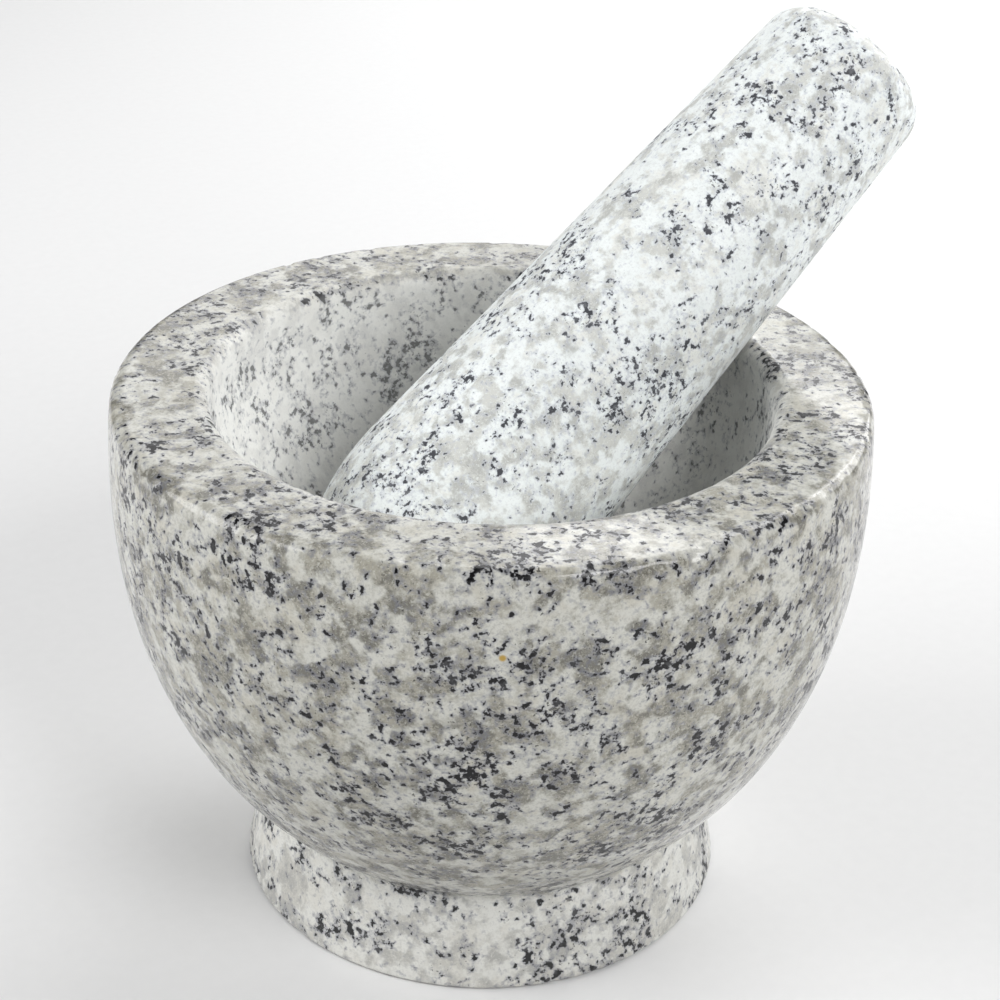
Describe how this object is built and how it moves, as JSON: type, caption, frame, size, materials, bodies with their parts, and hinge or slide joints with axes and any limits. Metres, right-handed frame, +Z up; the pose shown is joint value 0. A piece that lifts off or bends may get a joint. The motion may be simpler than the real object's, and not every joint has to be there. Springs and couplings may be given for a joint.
{
  "type": "mortar and pestle",
  "caption": "Footed stone mortar with a thick flat rim and a deep rounded bowl, and a loose tapered pestle that leans on the rim.",
  "frame": {"origin": "centre of the foot's flat underside", "axes": "+Z up along the mortar's axis of turning; the pestle leans towards +X in the XZ plane"},
  "size_m": [0.1695, 0.1498, 0.1745],
  "materials": {
    "mortar_granite": "polished cream-white granite with grey quartz grains and black mica flecks; the bowl's inside is honed",
    "pestle_granite": "smooth honed granite of the same kind, whiter and cooler, with finer flecks"
  },
  "bodies": {
    "mortar": {"mortar": "mortar_granite"},
    "pestle": {"pestle": "pestle_granite"}
  },
  "joints": [
    {"name": "pestle_lift", "type": "slide", "parent": "mortar", "child": "pestle", "axis": [0, 0, 1], "range_m": [0, 0.08]}
  ]
}
